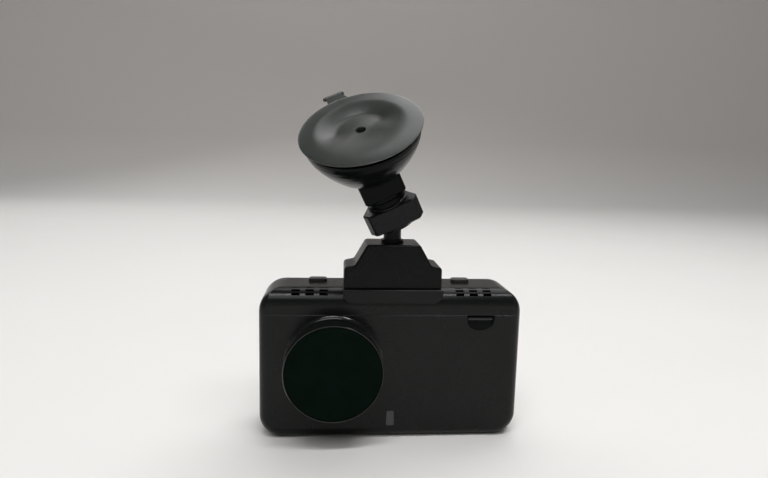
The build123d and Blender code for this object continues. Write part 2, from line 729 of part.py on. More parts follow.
# ================================================================ buttons
def make_top_button(side):
    """Cap, the flange that keeps it in, and the stem over its switch."""
    low = HOUSING_H - WALL - SLIP
    cap = Pos(0, 0, low - FLANGE_T) * extrude(button_face(), amount=HOUSING_H + BUTTON_PROUD - low + FLANGE_T)
    cap = chamfer(cap.edges().group_by(Axis.Z)[-1], 0.3)
    flange = Rectangle(BUTTON_W + 2 * FLANGE, BUTTON_L + 2 * FLANGE)
    cap += Pos(0, 0, low - FLANGE_T) * extrude(flange, amount=FLANGE_T)
    foot = BOARD_Z[1] + 0.2 + SWITCH_NUB + BUTTON_TRAVEL + PRESS_GAP
    stem = block((-1.5, 1.5), (-1.0, 1.0), (foot, low - FLANGE_T + 0.2))
    return Pos(side * BUTTON_X, BUTTON_Y, 0) * (cap + stem)


def make_key(x, z):
    inner = REAR_Y - REAR_WALL - SLIP
    key = prism_y(key_face(x, z), inner - FLANGE_T, REAR_Y + KEY_PROUD)
    key = chamfer(key.faces().sort_by(Axis.Y)[-1].edges(), 0.35)
    flange = Pos(x, z) * Rectangle(KEY_W + 2 * FLANGE, KEY_H + 2 * FLANGE)
    key += prism_y(flange, inner - FLANGE_T, inner)
    foot = BOARD_Y + BOARD_T + SWITCH_H + SWITCH_NUB + KEY_TRAVEL + PRESS_GAP
    return key + post_y(1.2, x, z, foot, inner - FLANGE_T + 0.1)


# ================================================================ dock and bracket
def contact_places():
    return [BRACKET_X + (i - (CONTACTS - 1) / 2) * CONTACT_PITCH for i in range(CONTACTS)]


def make_dock_plate():
    length, depth, thick = DOCK_PLATE
    plate = Pos(BRACKET_X, BRACKET_Y, HOUSING_H - thick / 2) * Box(length, depth, thick)
    for x in contact_places():
        plate -= Pos(x, BRACKET_Y, HOUSING_H) * Box(CONTACT_W, CONTACT_L, 2 * CONTACT_T)
    return plate


def make_dock_contacts():
    pads = [Pos(x, BRACKET_Y, HOUSING_H - CONTACT_T / 2) * Box(CONTACT_W, CONTACT_L, CONTACT_T)
            for x in contact_places()]
    return Compound(children=pads)


def magnet_pair(z0):
    discs = [post_z(MAGNET_R, BRACKET_X + side * MAGNET_X, BRACKET_Y, z0, z0 + MAGNET_T) for side in (-1, 1)]
    return Compound(children=discs)


def make_dock_magnets():
    return magnet_pair(HOUSING_H - WALL - SLIP - MAGNET_T)


def make_bracket_magnets():
    return magnet_pair(BRACKET_Z + BASE_T)


def bracket_outline():
    w, s, t, h = BRACKET_W / 2, SHOULDER_W / 2, TOP_W / 2, BRACKET_H
    points = ((-w, 0), (w, 0), (w, SHOULDER_Z - 0.4), (s, SHOULDER_Z + 0.4), (t, h),
              (-t, h), (-s, SHOULDER_Z + 0.4), (-w, SHOULDER_Z - 0.4))
    face = make_face(Polyline(*points, close=True))
    upper = face.vertices().filter_by(lambda v: v.Y > 1)
    return Pos(BRACKET_X, BRACKET_Z) * fillet(upper, 1.6)


def bracket_screw_places():
    return [BRACKET_X + side * (BRACKET_W / 2 - 3.6) for side in (-1, 1)]


def make_bracket_shell():
    outline = bracket_outline()
    shell = prism_y(outline, BRACKET_FRONT, BRACKET_FRONT + BRACKET_D)
    low_edges = shell.edges().group_by(Axis.Z)[0]
    rims = shell.faces().sort_by(Axis.Y)
    shell = fillet((rims[0].edges() + rims[-1].edges()).filter_by(lambda e: e not in low_edges), BRACKET_EDGE_R)
    inside = offset(outline, amount=-BRACKET_WALL)
    wall = BRACKET_WALL
    hollow = prism_y(inside, BRACKET_FRONT + wall, BRACKET_FRONT + BRACKET_D - wall)
    mouth = block(
        (BRACKET_X - BRACKET_W / 2 + wall, BRACKET_X + BRACKET_W / 2 - wall),
        (BRACKET_FRONT + wall, BRACKET_FRONT + BRACKET_D - wall),
        (BRACKET_Z - 1, BRACKET_Z + wall + 1),
    )
    shell -= hollow + mouth
    boss = post_z(STEM_FLANGE_R + 1.2, BALL.X, BALL.Y, BRACKET_TOP - STUD_BOSS_L, BRACKET_TOP - 0.5)
    shell += boss
    shell -= post_z(SHANK_R + PLAY, BALL.X, BALL.Y, BRACKET_TOP - STUD_BOSS_L - 1, BRACKET_TOP + 1)
    for x in bracket_screw_places():
        shell += post_z(2.3, x, BRACKET_Y, BRACKET_Z + BASE_T, BRACKET_Z + SHOULDER_Z - 1)
        shell -= post_z(0.9 + PLAY, x, BRACKET_Y, BRACKET_Z, BRACKET_Z + SHOULDER_Z - 2.6)
    y = BRACKET_FRONT + BRACKET_D
    return shell - post_y(JACK_R + 1.0 + SLIP, JACK_X, jack_height(), y - wall - 1, y + 1)


def jack_height():
    """Height of the power socket's axis, above the bracket's board."""
    return BRACKET_Z + BASE_T + MAGNET_T + SLIP + BRACKET_BOARD_T + JACK_BODY[1] / 2


def make_bracket_base():
    wall = BRACKET_WALL + SLIP
    base = block(
        (BRACKET_X - BRACKET_W / 2 + wall, BRACKET_X + BRACKET_W / 2 - wall),
        (BRACKET_FRONT + wall, BRACKET_FRONT + BRACKET_D - wall),
        (BRACKET_Z, BRACKET_Z + BASE_T),
    )
    for x in contact_places():
        base -= post_z(0.6 + PLAY, x, BRACKET_Y, BRACKET_Z - 1, BRACKET_Z + BASE_T + 1)
    for x in bracket_screw_places():
        base -= post_z(0.9 + SLIP, x, BRACKET_Y, BRACKET_Z - 1, BRACKET_Z + BASE_T + 1)
        base -= post_z(1.7 + SLIP, x, BRACKET_Y, BRACKET_Z - 1, BRACKET_Z + 0.9)
    return base


def make_bracket_screws():
    screws = []
    for x in bracket_screw_places():
        screw = post_z(1.7, x, BRACKET_Y, BRACKET_Z + 0.1, BRACKET_Z + 0.9)
        screws.append(screw + post_z(0.9, x, BRACKET_Y, BRACKET_Z + 0.8, BRACKET_Z + SHOULDER_Z - 2.9))
    return Compound(children=screws)


def bracket_board_low():
    return BRACKET_Z + BASE_T + MAGNET_T + SLIP


def make_contact_pins():
    """Sprung pins that touch the dock's contacts."""
    low = HOUSING_H + SLIP
    pins = [post_z(0.6, x, BRACKET_Y, low, bracket_board_low()) for x in contact_places()]
    return Compound(children=pins)


def make_bracket_board():
    low = bracket_board_low()
    half = BRACKET_W / 2 - 6.0
    y = (BRACKET_FRONT + BRACKET_WALL + 0.4, BRACKET_FRONT + BRACKET_D - BRACKET_WALL - 0.4)
    return block((BRACKET_X - half, BRACKET_X + half), y, (low, low + BRACKET_BOARD_T))


def make_gps_antenna():
    """Ceramic patch with its square silvered face."""
    low = bracket_board_low() + BRACKET_BOARD_T
    x, y, z = ANTENNA
    patch = Pos(BRACKET_X + 4.2, BRACKET_Y - 0.4, low + z / 2) * Box(x, y, z)
    return chamfer(patch.edges().filter_by(Axis.Z), 0.8)


def make_power_jack():
    width, high = JACK_BODY
    y1 = BRACKET_FRONT + BRACKET_D
    z = jack_height()
    inner = y1 - BRACKET_WALL - SLIP
    body = block((JACK_X - width / 2, JACK_X + width / 2), (y1 - JACK_L - 1.2, inner), (z - high / 2, z + high / 2))
    nose = post_y(JACK_R + 1.0, JACK_X, z, inner - 0.5, y1 - SLIP)
    return body + nose - post_y(JACK_R, JACK_X, z, y1 - SLIP - JACK_L, y1 + 1)


# ================================================================ ball joint
def make_ball_stud():
    """Ball, stem, flange on the bracket and the shank that turns in its boss."""
    seat = -BALL_RISE + SLIP / 2
    flange = seat + STEM_FLANGE_T
    groove = -BALL_RISE - STUD_BOSS_L - SLIP + PLAY
    groove_low = groove - CLIP_T - 2 * PLAY
    low = -BALL_RISE - SHANK_L
    neck = -sqrt(BALL_R ** 2 - STEM_R ** 2)
    crown = sqrt(BALL_R ** 2 - BALL_FLAT_R ** 2)
    outline = [
        Polyline((0, crown), (0, low), (SHANK_R, low), (SHANK_R, groove_low), (CLIP_GROOVE_R, groove_low),
                 (CLIP_GROOVE_R, groove), (SHANK_R, groove), (SHANK_R, seat), (STEM_FLANGE_R, seat),
                 (STEM_FLANGE_R, flange), (STEM_R, flange), (STEM_R, neck)),
        ThreePointArc((STEM_R, neck), (BALL_R, 0), (BALL_FLAT_R, crown)),
        Line((BALL_FLAT_R, crown), (0, crown)),
    ]
    return Pos(*BALL) * revolve(Plane.XZ * make_face(outline), Axis.Z)


def make_stud_clip():
    """Open spring ring under the bracket's boss."""
    groove_top = BRACKET_TOP - STUD_BOSS_L - SLIP
    ring = Cylinder(CLIP_R, CLIP_T) - Cylinder(CLIP_GROOVE_R + PLAY / 2, CLIP_T)
    ring -= Pos(0, CLIP_R, 0) * Box(2.4, 2 * CLIP_R, CLIP_T)
    return Pos(BALL.X, BALL.Y, groove_top - CLIP_T / 2) * ring


def make_pressure_pad():
    """Pad in the socket, hollowed to the ball."""
    hollow = BALL_R + PLAY
    top = SOCKET_TOP - SLIP
    r, hole = SOCKET_R - PLAY, BALL_FLAT_R
    rim = sqrt(hollow ** 2 - PAD_LOW ** 2)
    middle = sqrt(hollow ** 2 / 2)
    inner = sqrt(hollow ** 2 - hole ** 2)
    outline = [
        Polyline((hole, inner), (hole, top), (r, top), (r, PAD_LOW), (rim, PAD_LOW)),
        ThreePointArc((rim, PAD_LOW), (middle, middle), (hole, inner)),
    ]
    return ARM * revolve(Plane.XZ * make_face(outline), Axis.Z)


def cup_bowl(radius, rim, crown):
    """Bowl turned about the cup's axis, from its rim down to its crown."""
    flat, shelf = radius * CROWN_FLAT, rim - 1.2
    last = 1 - CROWN_EASE / DOME_H
    flank = []
    for i in range(FLANK_STEPS + 1):
        part = last * i / FLANK_STEPS
        flank.append((radius - (radius - flat) * part ** FLANK_BULGE, shelf + (crown - shelf) * part))
    end = flank[-1]
    middle = ((end[0] + 3 * flat - CROWN_EASE) / 4, (end[1] + 3 * crown) / 4)
    return turned((0, rim), (radius, rim), *flank, middle, (flat - CROWN_EASE, crown), (0, crown))


def make_mount_arm():
    """Threaded socket, neck and cup dome, moulded in one."""
    end = ARM_REACH - 2.0
    neck = Pos(0, 0, (NECK_LOW + end) / 2) * Box(NECK_W, NECK_D, end - NECK_LOW)
    neck = fillet(neck.edges().filter_by(Axis.Z), NECK_EDGE_R)
    neck = chamfer(neck.edges().group_by(Axis.Z)[0], 0.6)
    socket = Pos(0, 0, (SOCKET_LOW + NECK_LOW + 1) / 2) * Cylinder(THREAD_R, NECK_LOW + 1 - SOCKET_LOW)
    dome = CUP * cup_bowl(DOME_R, DOME_RIM, CROWN)
    solid = ARM * (neck + socket) + dome
    solid -= CUP * cup_bowl(DOME_R - DOME_WALL, DOME_RIM + 0.01, CROWN + DOME_WALL)
    above = CUP * (Pos(0, 0, DOME_RIM + 20) * Cylinder(2 * CUP_R, 40))
    solid -= above
    solid -= ARM * (Pos(0, 0, SOCKET_TOP / 2) * Cylinder(SOCKET_R, SOCKET_TOP))
    solid += CUP * lever_lugs()
    solid -= CUP * lever_slot()
    solid -= CUP * post_z(TAIL_R + PLAY, 0, 0, TAIL_END - PULL - 0.6, CROWN + DOME_WALL + 1)
    return solid - CUP * (Pos(PIN_X, 0, PIN_Z) * Rot(90, 0, 0) * Cylinder(PIN_R, LEVER_SLOT + 2 * LUG_T + 1))


def lever_lugs():
    """Two ears inside the dome that carry the lever's pin."""
    ears = []
    for side in (-1, 1):
        y = side * (LEVER_SLOT / 2 + LUG_T / 2)
        ear = Pos(PIN_X, y, PIN_Z) * Rot(90, 0, 0) * Cylinder(2.4, LUG_T)
        web = Pos(PIN_X, y, (PIN_Z + CROWN + DOME_WALL) / 2 - 1) * Box(4.8, LUG_T, PIN_Z - CROWN - DOME_WALL + 2)
        ears += [ear, web]
    keep = cup_bowl(DOME_R - DOME_WALL / 2, DOME_RIM, CROWN + DOME_WALL / 2)
    return (Part() + ears) & keep


def lever_slot():
    """Opening in the dome's back flank that the lever swings in."""
    x = (PIN_X + LEVER_HUB_R + FREE, DOME_R + 2)
    reach = (DOME_R - PIN_X) * sin(radians(LEVER_SWING / 2)) + LEVER_T / 2 + 2 * FREE
    return block(x, (-LEVER_SLOT / 2, LEVER_SLOT / 2), (PIN_Z - reach, PIN_Z + reach))


def make_lever_pin():
    length = LEVER_SLOT + 2 * LUG_T - 0.2
    return CUP * (Pos(PIN_X, 0, PIN_Z) * Rot(90, 0, 0) * Cylinder(PIN_R - 0.01, length))


def make_lock_lever():
    """Rocker: a forked crank on the plunger's spool, a hub on the pin and a finger paddle outside."""
    hub = Rot(90, 0, 0) * Cylinder(LEVER_HUB_R, LEVER_W)
    crank = Pos(-CRANK / 2, 0, 0) * Box(CRANK, LEVER_W, CRANK_T)
    tip = Pos(-CRANK, 0, 0) * Rot(90, 0, 0) * Cylinder(CRANK_TIP_R, LEVER_W)
    root = -CRANK + SPOOL_R + FREE
    fork = block((-CRANK - 2 * CRANK_TIP_R, root), (-SPOOL_WAIST_R - FREE, SPOOL_WAIST_R + FREE), (-3, 3))
    bend = DOME_R + 2 * FREE - PIN_X + 1.0
    shank = block((0, bend), (-LEVER_W / 2, LEVER_W / 2), (-LEVER_T / 2, LEVER_T / 2))
    paddle = Box(PADDLE_L, PADDLE_W, LEVER_T, align=(Align.MIN, Align.CENTER, Align.CENTER))
    paddle = fillet(paddle.edges().filter_by(Axis.Z).group_by(Axis.X)[-1], PADDLE_W * 0.3)
    lever = hub + crank + tip + shank + Pos(bend - 0.4, 0, 0) * Rot(0, 15, 0) * paddle
    lever -= fork + Rot(90, 0, 0) * Cylinder(PIN_R + PLAY, LEVER_W + 2)
    return CUP * (Pos(PIN_X, 0, PIN_Z) * Rot(0, LEVER_SWING / 2, 0) * lever)


# ================================================================ clamp nut
def make_clamp_nut():
    """Three-lobed nut on the socket's thread; its mouth holds the ball in."""
    corners = []
    for i in range(NUT_LOBES):
        middle = NUT_TURN + 90 + i * 360 / NUT_LOBES
        corners += [polar(LOBE_OUT, middle - LOBE_SPREAD), polar(LOBE_OUT, middle + LOBE_SPREAD)]
        corners.append(polar(NUT_CORE_R, middle + 180 / NUT_LOBES))
    outline = make_face(Polyline(*corners, close=True))
    inner = outline.vertices().filter_by(lambda v: v.X ** 2 + v.Y ** 2 < (NUT_CORE_R + 1) ** 2)
    outline = fillet(inner, NUT_VALLEY_R)
    outer = outline.vertices().filter_by(lambda v: v.X ** 2 + v.Y ** 2 > (LOBE_OUT - 0.5) ** 2)
    outline = fillet(outer, LOBE_CORNER_R)
    grip = Pos(0, 0, NUT_LOW) * extrude(outline, amount=NUT_TOP - NUT_LOW)
    grip = chamfer(grip.edges().group_by(Axis.Z)[-1] + grip.edges().group_by(Axis.Z)[0], NUT_EDGE)
    hub = turned((0, NUT_LIP_LOW), (NUT_HUB_R, NUT_LIP_LOW), (NUT_CORE_R - 0.4, NUT_LOW + 0.5), (0, NUT_LOW + 0.5))
    collar = turned((0, NUT_TOP - 0.5), (NUT_CORE_R - 0.3, NUT_TOP - 0.5), (NUT_CORE_R - 0.3, NUT_TOP + 0.4),
                    (NUT_CORE_R - 0.7, NUT_TOP + NUT_COLLAR_H), (0, NUT_TOP + NUT_COLLAR_H))
    seat_low = sqrt(BALL_R ** 2 - NUT_SEAT_LOW ** 2) + NUT_BALL_GAP
    seat, thread = BALL_R + NUT_BALL_GAP, THREAD_R + PLAY
    bore = turned((0, NUT_LIP_LOW - 0.1), (NUT_MOUTH_R, NUT_LIP_LOW - 0.1), (seat_low, NUT_SEAT_LOW),
                  (seat, NUT_SEAT_HIGH), (seat, 0.2), (thread, 0.2), (thread, NUT_TOP + 2), (0, NUT_TOP + 2))
    return ARM * (grip + hub + collar - bore)


# ================================================================ suction cup
def make_suction_rubber():
    """Rubber disc with a drawn-in dish, a hole in the middle and a pull tab."""
    back, r = -RUBBER_T, CUP_R
    face = [(CUP_HOLE_R, -DISH_MIDDLE), (GROOVE_R * 0.55, -DISH_MIDDLE - 0.4), (GROOVE_R, -DISH_DEPTH),
            (GROOVE_R + 1.2, -DISH_DEPTH + 0.9), (DISH_R - 1.0, -0.35), (DISH_R + 0.5, 0), (r - 0.4, 0)]
    behind = [(r, -0.5), (r - 0.9, back), (DISH_R + 0.6, back), (PLATE_R + 0.4, RUBBER_BACK),
              (CUP_HOLE_R, RUBBER_BACK)]
    disc = turned(*face, *behind)
    web = Pos((CUP_R + TAB_OUT) / 2 - 0.8, 0, back / 2 - 0.1) * Box(TAB_OUT - CUP_R + 1.6, TAB_W, 1.2)
    bar = Pos(TAB_OUT, 0, back / 2 - 0.1) * Rot(90, 0, 0) * Cylinder(TAB_BAR[0] / 2, TAB_BAR[1])
    bar = chamfer(bar.edges().filter_by(GeomType.CIRCLE), 0.5)
    return CUP * (disc + Rot(0, 0, TAB_AZIMUTH) * (web + bar))


def make_plunger_plate():
    plate = turned((ROD_SCREW_R + PLAY, PLATE_BACK), (PLATE_R - 0.6, PLATE_BACK), (PLATE_R, PLATE_BACK + 0.6),
                   (PLATE_R, RUBBER_BACK), (ROD_SCREW_R + PLAY, RUBBER_BACK))
    return CUP * plate


def make_pull_rod():
    """Rod behind the plate: a spool for the lever's fork and a tail guided in the arm."""
    low = SPOOL_TOP - SPOOL_GAP
    rod = turned(
        (0, PLATE_BACK), (ROD_R + 1.2, PLATE_BACK), (ROD_R + 1.2, PLATE_BACK - 1.0), (ROD_R, PLATE_BACK - 1.0),
        (ROD_R, SPOOL_TOP + SPOOL_FLANGE_T), (SPOOL_R, SPOOL_TOP + SPOOL_FLANGE_T), (SPOOL_R, SPOOL_TOP),
        (SPOOL_WAIST_R, SPOOL_TOP), (SPOOL_WAIST_R, low), (SPOOL_R, low), (SPOOL_R, low - SPOOL_FLANGE_T),
        (TAIL_R, low - SPOOL_FLANGE_T), (TAIL_R, TAIL_END), (0, TAIL_END),
    )
    return CUP * (rod - post_z(ROD_SCREW_R + PLAY, 0, 0, PLATE_BACK - ROD_SCREW_L - SLIP, PLATE_BACK + 1))


def make_rod_screw():
    """Screw down the middle of the plate, seen at the bottom of the cup's hole."""
    head = turned((0, RUBBER_BACK), (1.7, RUBBER_BACK), (1.7, RUBBER_BACK + 0.9), (0, RUBBER_BACK + 0.9))
    shank = post_z(ROD_SCREW_R, 0, 0, PLATE_BACK - ROD_SCREW_L, RUBBER_BACK)
    slot = Pos(0, 0, RUBBER_BACK + 0.9) * Box(4, 0.5, 0.8)
    return CUP * (head + shank - slot)


# ================================================================ write every piece
PIECES = {
    "front_housing": make_front_housing,
    "rear_housing": make_rear_housing,
    "housing_screws": make_housing_screws,
    "sensor_window": make_sensor_window,
    "laser_lens": make_laser_lens,
    "lens_collar": make_lens_collar,
    "lens_hood": make_lens_hood,
    "camera_lens": make_camera_lens,
    "lens_barrel": make_lens_barrel,
    "lens_holder": make_lens_holder,
    "image_sensor": make_image_sensor,
    "cpl_rear_ring": make_cpl_rear_ring,
    "cpl_front_ring": make_cpl_front_ring,
    "cpl_glass": make_cpl_glass,
    "main_board": make_main_board,
    "board_screws": make_board_screws,
    "processor": make_processor,
    "memory_card_socket": make_memory_card_socket,
    "usb_socket": make_usb_socket,
    "backup_battery": make_backup_battery,
    "key_switches": make_key_switches,
    "button_switches": make_button_switches,
    "horn_antenna": make_horn_antenna,
    "radar_board": make_radar_board,
    "lcd_panel": make_lcd_panel,
    "screen_glass": make_screen_glass,
    "speaker": make_speaker,
    "top_button_left": lambda: make_top_button(-1),
    "top_button_right": lambda: make_top_button(1),
    "key_left_low": lambda: make_key(-KEY_X, KEY_Z[0]),
    "key_left_high": lambda: make_key(-KEY_X, KEY_Z[1]),
    "key_right_low": lambda: make_key(KEY_X, KEY_Z[0]),
    "key_right_high": lambda: make_key(KEY_X, KEY_Z[1]),
    "dock_plate": make_dock_plate,
    "dock_contacts": make_dock_contacts,
    "dock_magnets": make_dock_magnets,
    "bracket_shell": make_bracket_shell,
    "bracket_base": make_bracket_base,
    "bracket_screws": make_bracket_screws,
    "bracket_magnets": make_bracket_magnets,
    "contact_pins": make_contact_pins,
    "bracket_board": make_bracket_board,
    "gps_antenna": make_gps_antenna,
    "power_jack": make_power_jack,
    "ball_stud": make_ball_stud,
    "stud_clip": make_stud_clip,
    "pressure_pad": make_pressure_pad,
    "mount_arm": make_mount_arm,
    "lever_pin": make_lever_pin,
    "lock_lever": make_lock_lever,
    "clamp_nut": make_clamp_nut,
    "suction_rubber": make_suction_rubber,
    "plunger_plate": make_plunger_plate,
    "pull_rod": make_pull_rod,
    "rod_screw": make_rod_screw,
}

for node, make in PIECES.items():
    export_step(make(), f"parts/{node}.step")
    print("wrote", node)
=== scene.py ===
import json
from math import cos, pi, radians, sin, tau

import bmesh
import bpy
from mathutils import Matrix, Vector

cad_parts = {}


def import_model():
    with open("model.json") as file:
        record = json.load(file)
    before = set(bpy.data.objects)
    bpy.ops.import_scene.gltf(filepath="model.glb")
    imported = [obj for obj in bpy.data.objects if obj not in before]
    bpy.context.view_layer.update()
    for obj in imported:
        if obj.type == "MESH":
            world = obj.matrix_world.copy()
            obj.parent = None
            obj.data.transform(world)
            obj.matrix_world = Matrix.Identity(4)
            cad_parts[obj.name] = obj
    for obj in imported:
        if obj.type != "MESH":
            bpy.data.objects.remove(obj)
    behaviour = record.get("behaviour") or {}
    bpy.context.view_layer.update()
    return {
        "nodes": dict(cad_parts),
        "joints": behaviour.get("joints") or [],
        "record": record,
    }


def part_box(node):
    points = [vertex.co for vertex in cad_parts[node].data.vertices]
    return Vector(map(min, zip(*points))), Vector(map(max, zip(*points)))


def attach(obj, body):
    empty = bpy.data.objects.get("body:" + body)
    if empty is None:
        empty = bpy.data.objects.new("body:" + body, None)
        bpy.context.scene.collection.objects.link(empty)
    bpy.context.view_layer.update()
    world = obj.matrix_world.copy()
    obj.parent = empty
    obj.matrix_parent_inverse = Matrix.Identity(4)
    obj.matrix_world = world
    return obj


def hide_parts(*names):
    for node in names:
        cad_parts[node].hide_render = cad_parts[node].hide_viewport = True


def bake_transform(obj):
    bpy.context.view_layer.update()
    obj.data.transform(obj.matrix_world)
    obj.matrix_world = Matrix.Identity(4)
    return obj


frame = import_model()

# Radar detector on a suction mount. Metres. Origin: centre of the housing's resting face.
# +X right seen from the road's side, +Y away from the road, +Z up.

MM = 0.001

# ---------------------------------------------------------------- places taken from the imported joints
JOINTS = {joint["name"]: joint for joint in frame["joints"]}
BALL = Vector(JOINTS["ball_turn"]["pos_m"])
ARM_AXIS = Vector(JOINTS["arm_roll"]["axis"]).normalized()
CUP_AXIS = -Vector(JOINTS["plunger_pull"]["axis"]).normalized()
LENS = Vector(JOINTS["filter_turn"]["pos_m"])

# ---------------------------------------------------------------- suction cup, in millimetres as in the CAD
ARM_REACH = 28.7            # ball centre to the cup's axis, along the arm
CUP_MEET = 12.0             # from there to the cup's face, along its axis
CUP_R = 24.0
RUBBER_T = 2.0
RUBBER_BACK = 5.0
CUP_HOLE_R = 1.85
PLATE_R = 12.0
LATHE_SEGMENTS = 144

SLOPE_OUT = 18.6            # where the dish's slope leaves the flat ring
SPLIT_R = SLOPE_OUT         # the ring and the dish are separate pieces from here
PLATE_EDGE_R = 11.2
PLATE_SOFT_R = 8.6
PLATE_RISEN_R = 2.4         # inside this, the plate has risen to the hole's height
CREASE_AZIMUTH = radians(18)
CREASE_CURVE = 1.5
BOWL_AZIMUTH = radians(215)
BOWL_START, BOWL_FADE = 0.3, 0.5
DISH_DRAW = 1.9
DISH_MIDDLE = 1.55
DISH_STEPS = 40
RING_CURL = 0.32
RING_WAVES = ((0.05, 2, 0.7), (0.025, 5, 2.1))    # height, waves round the ring, phase

LIP_LOW = -0.5
LIP_ROOT_R = 20.4
TAB_AZIMUTH = 39.5
TAB_W = 7.0
TAB_OUT = 29.0
TAB_FLARE = 0.45
TAB_HIGH, TAB_LOW = -0.55, -1.65
TAB_SECTIONS = 14
TAB_BAR_R = 0.95
TAB_BAR_L = 9.4
TAB_BAR_Z = -1.1
TAB_BAR_SIDES = 20
TAB_RIB = 0.13
TAB_RIB_PAIRS = 12
BAR_TIP_R = 0.001

# ---------------------------------------------------------------- thread on the arm, in millimetres
THREAD_R = 7.95
THREAD_H = 0.32
THREAD_LOW = 7.7
THREAD_PITCH = 1.5
THREAD_TURNS = 1.6
THREAD_STEPS = 48           # in each turn
THREAD_ROOT = 0.3           # how far it is sunk in the arm
THREAD_FOOT, THREAD_CREST = 0.45, 0.12
THREAD_RUN_OUT = 12         # each end rises over one twelfth of the thread

# ---------------------------------------------------------------- stage, in metres
FLOOR_REACH = 40.0
SWEEP_START = 1.1
SWEEP_R = 0.9
SWEEP_STEPS = 24
WALL_TOP = 3.0
WALL_FADE = 0.16
SKY_FADE = 0.35

# name, place, target, size, watts
LIGHTS = (
    ("overhead", (0.25, 0.42, 1.0), (0, 0, 0.12), (0.80, 0.8), 5.0),
    ("ceiling strip", (0.05, -0.36, 1.0), (0, 0, 0.05), (0.8, 0.10), 4.6),
    ("room", (-0.3, -1.7, 2.3), (0, 0.5, 0), (1.6, 1.2), 16.0),
    ("back fill", (-0.6, 0.95, 0.75), (0, 0, 0.06), (0.9, 0.7), 2.6),
)

# ---------------------------------------------------------------- camera, fitted to the photograph's frame
CAMERA_MM = (-23.65, -242.47, 116.89)
CAMERA_YAW, CAMERA_PITCH, CAMERA_ROLL = -0.0846, 0.1452, 0.02488
FOCAL_PX, FRAME_PX = 590.1, 768
SENSOR_MM = 36.0


def cup_matrix():
    """Cup frame: Z towards the windscreen, X up the back."""
    back = (Vector((0, 0, 1)) - CUP_AXIS * CUP_AXIS.z).normalized()
    centre = BALL + (ARM_AXIS * ARM_REACH + CUP_AXIS * CUP_MEET) * MM
    side = CUP_AXIS.cross(back)
    axes = Matrix((back, side, CUP_AXIS)).transposed().to_4x4()
    return Matrix.Translation(centre) @ axes @ Matrix.Scale(MM, 4)


# ================================================================ materials
def new_material(name):
    material = bpy.data.materials.new(name)
    material.use_nodes = True
    tree = material.node_tree
    tree.nodes.clear()
    out = tree.nodes.new("ShaderNodeOutputMaterial")
    shader = tree.nodes.new("ShaderNodeBsdfPrincipled")
    tree.links.new(shader.outputs[0], out.inputs["Surface"])
    return material, tree, shader


def object_coords(tree, scale=(1, 1, 1), offset=(0, 0, 0)):
    coords = tree.nodes.new("ShaderNodeTexCoord")
    mapping = tree.nodes.new("ShaderNodeMapping")
    mapping.inputs["Location"].default_value = offset
    mapping.inputs["Scale"].default_value = scale
    tree.links.new(coords.outputs["Object"], mapping.inputs["Vector"])
    return mapping.outputs["Vector"]


def noise(tree, vector, scale, detail=3.0, roughness=0.5):
    node = tree.nodes.new("ShaderNodeTexNoise")
    node.inputs["Scale"].default_value = scale
    node.inputs["Detail"].default_value = detail
    node.inputs["Roughness"].default_value = roughness
    tree.links.new(vector, node.inputs["Vector"])
    return node.outputs["Fac"]


def mapped(tree, value, low, high, to_low, to_high):
    node = tree.nodes.new("ShaderNodeMapRange")
    for socket, number in (("From Min", low), ("From Max", high), ("To Min", to_low), ("To Max", to_high)):
        node.inputs[socket].default_value = number
    tree.links.new(value, node.inputs["Value"])
    return node.outputs["Result"]


def mix_colour(tree, factor, a, b):
    """Mix of two colours, each a tuple or a socket."""
    node = tree.nodes.new("ShaderNodeMix")
    node.data_type = "RGBA"
    tree.links.new(factor, node.inputs["Factor"])
    for socket, colour in ((node.inputs[6], a), (node.inputs[7], b)):
        if isinstance(colour, tuple):
            socket.default_value = (*colour, 1)
        else:
            tree.links.new(colour, socket)
    return node.outputs[2]


def math_node(tree, operation, a, b=None):
    node = tree.nodes.new("ShaderNodeMath")
    node.operation = operation
    for socket, value in zip(node.inputs, (a, b)):
        if value is None:
            continue
        if isinstance(value, (int, float)):
            socket.default_value = value
        else:
            tree.links.new(value, socket)
    return node.outputs[0]


def bump(tree, shader, height, distance, strength=1.0):
    node = tree.nodes.new("ShaderNodeBump")
    node.inputs["Distance"].default_value = distance
    node.inputs["Strength"].default_value = strength
    tree.links.new(height, node.inputs["Height"])
    tree.links.new(node.outputs["Normal"], shader.inputs["Normal"])


def shade(base, factor):
    return tuple(c * factor for c in base)


def moulded(name, base, roughness, gloss=0.22, grain=3200, grain_depth=6e-6, dust=0.1, wear=(0.0, 0.0)):
    """Spark-textured plastic: a fine grain, faint blotches, a little dust and rubbed patches."""
    material, tree, shader = new_material(name)
    coords = object_coords(tree)
    blotch = mapped(tree, noise(tree, coords, 55, 4), 0.35, 0.65, 0, 1)
    colour = mix_colour(tree, blotch, shade(base, 0.9), shade(base, 1.12))
    specks = mapped(tree, noise(tree, coords, 1900, 2, 0.7), 0.66, 0.74, 0, dust)
    colour = mix_colour(tree, specks, colour, (0.16, 0.155, 0.145))
    tree.links.new(colour, shader.inputs["Base Color"])
    rub = mapped(tree, noise(tree, coords, 30, 5, 0.6), 0.4, 0.62, roughness - wear[0], roughness + wear[1])
    shader.inputs["Specular IOR Level"].default_value = gloss
    fine = math_node(tree, "MULTIPLY", noise(tree, coords, grain, 2, 0.6), 0.06)
    tree.links.new(math_node(tree, "ADD", rub, fine), shader.inputs["Roughness"])
    bump(tree, shader, noise(tree, coords, grain, 2, 0.6), grain_depth)
    return material


